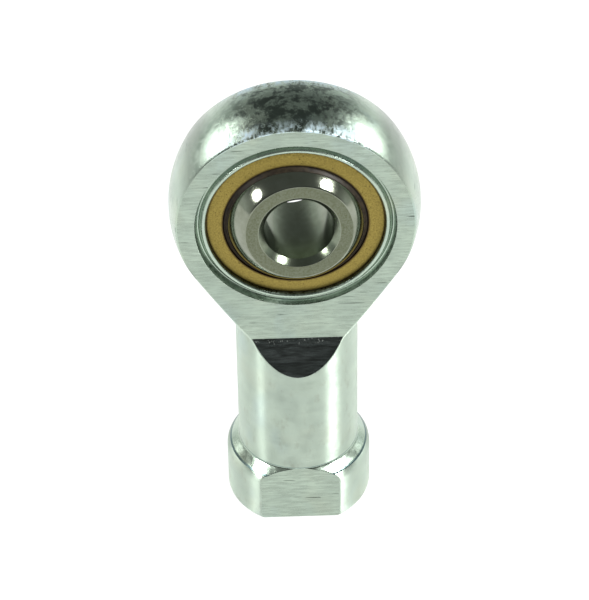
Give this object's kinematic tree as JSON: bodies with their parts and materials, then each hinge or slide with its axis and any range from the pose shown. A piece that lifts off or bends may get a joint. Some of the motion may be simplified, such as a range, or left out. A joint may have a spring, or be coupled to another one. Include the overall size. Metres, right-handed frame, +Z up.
{
  "type": "female rod end bearing",
  "caption": "Rod end with a swivelling bored steel ball in a bronze race, a round eye, a slim shank and a wrench collar with a female thread.",
  "frame": {"origin": "centre of the ball, in the middle of its bore", "axes": "+Y square to the eye's faces and to the wrench flats, +Z up from the shank to the eye, so the female thread opens towards -Z; X completes the right-handed frame and lies in the plane of the eye. The loose ball leans at rest, so its bore is 5.6 degrees off Y"},
  "size_m": [0.018, 0.009, 0.036],
  "materials": {
    "zinc_plated_steel": "zinc plated, semi-gloss, with fine milling lines on the flat faces",
    "bronze": "matte, turned",
    "grease": "dark, wet",
    "bearing_steel": "ground and polished sphere, satin end faces"
  },
  "bodies": {
    "housing": {"housing": "zinc_plated_steel", "race": "bronze"},
    "grease": {"grease": "grease"},
    "ball": {"ball": "bearing_steel"}
  },
  "joints": [
    {"name": "ball_turn", "type": "hinge", "parent": "housing", "child": "grease", "pos_m": [0, 0, 0], "axis": [0, 1, 0], "continuous": true},
    {"name": "ball_tilt", "type": "hinge", "parent": "grease", "child": "ball", "pos_m": [0, 0, 0], "axis": [0.7944, 0, -0.6074], "range_deg": [-7.4, 18.6]}
  ]
}
